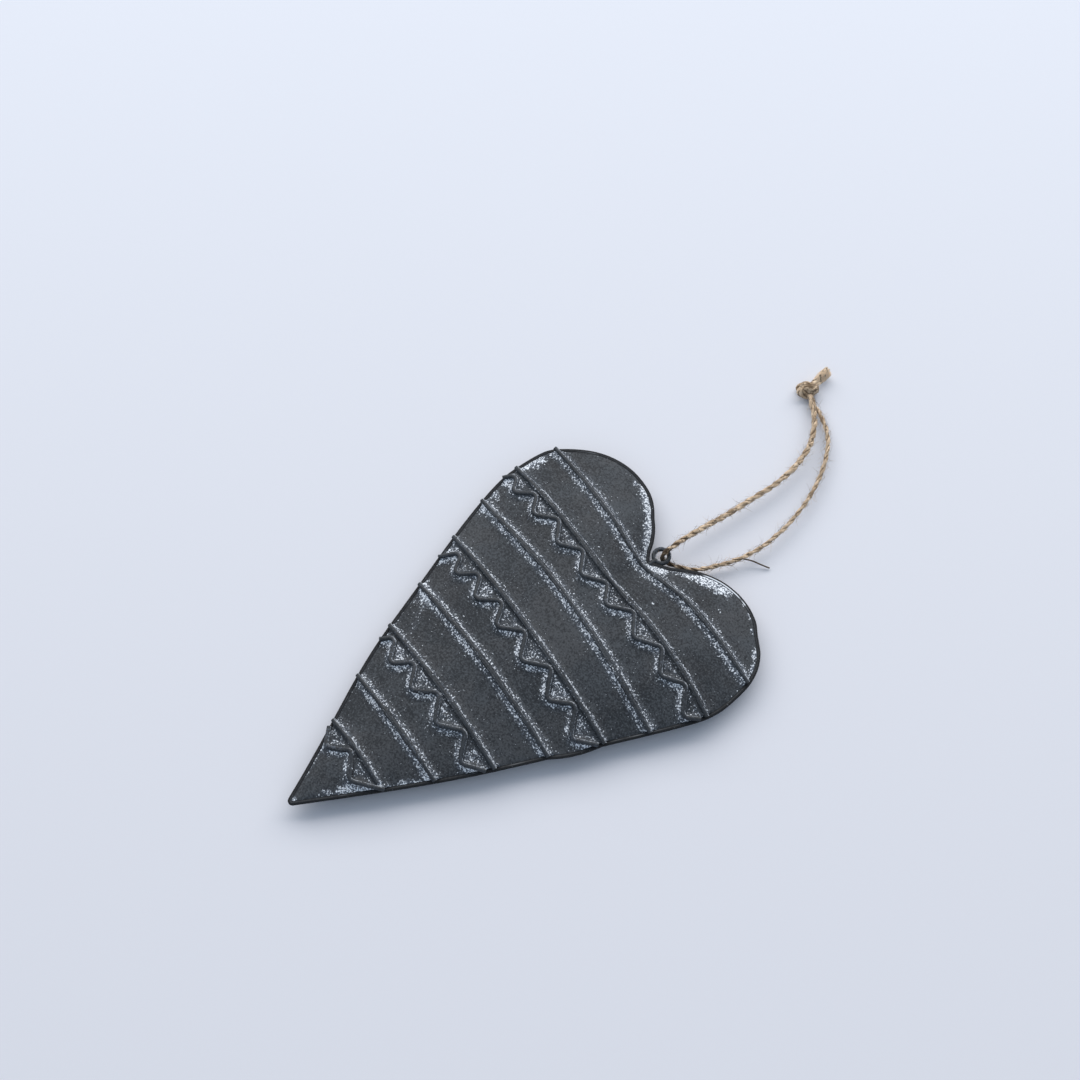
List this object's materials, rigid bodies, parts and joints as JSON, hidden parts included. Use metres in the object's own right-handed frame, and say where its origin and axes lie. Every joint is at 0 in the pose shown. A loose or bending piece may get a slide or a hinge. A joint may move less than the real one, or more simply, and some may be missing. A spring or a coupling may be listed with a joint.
{
  "type": "tin heart ornament",
  "caption": "Puffed tin heart ornament with soldered lines and zigzags of wire, an eye at the notch and a knotted twine loop to hang it by.",
  "frame": {"origin": "under the middle of the heart, on the surface that it lies on, without its twine", "axes": "+Y from the tip to the lobes, +Z out of the decorated front, +X to the right seen from the front with the tip down"},
  "size_m": [0.1, 0.2181, 0.0132],
  "materials": {
    "patinated_tin": "matt dark patina on tinplate, pale residue of solder along the wires",
    "dark_wire": "dark annealed wire, matt",
    "jute": "twisted natural jute"
  },
  "bodies": {
    "heart": {"front_shell": "patinated_tin", "back_shell": "patinated_tin", "hanging_eye": "dark_wire", "plain_wire_1": "dark_wire", "plain_wire_2": "dark_wire", "plain_wire_3": "dark_wire", "plain_wire_4": "dark_wire", "border_wire_1": "dark_wire", "border_wire_2": "dark_wire", "border_wire_3": "dark_wire", "border_wire_4": "dark_wire", "zigzag_wire_1": "dark_wire", "zigzag_wire_2": "dark_wire", "zigzag_wire_3": "dark_wire", "zigzag_wire_4": "dark_wire"},
    "hanger": {"twine_loop": "jute", "twine_knot": "jute", "twine_tails": "jute"}
  },
  "joints": [
    {"name": "hanger_swing", "type": "hinge", "parent": "heart", "child": "hanger", "pos_m": [0.00043, 0.06383, 0.005], "axis": [0.9511, -0.309, 0], "range_deg": [0, 105]}
  ]
}
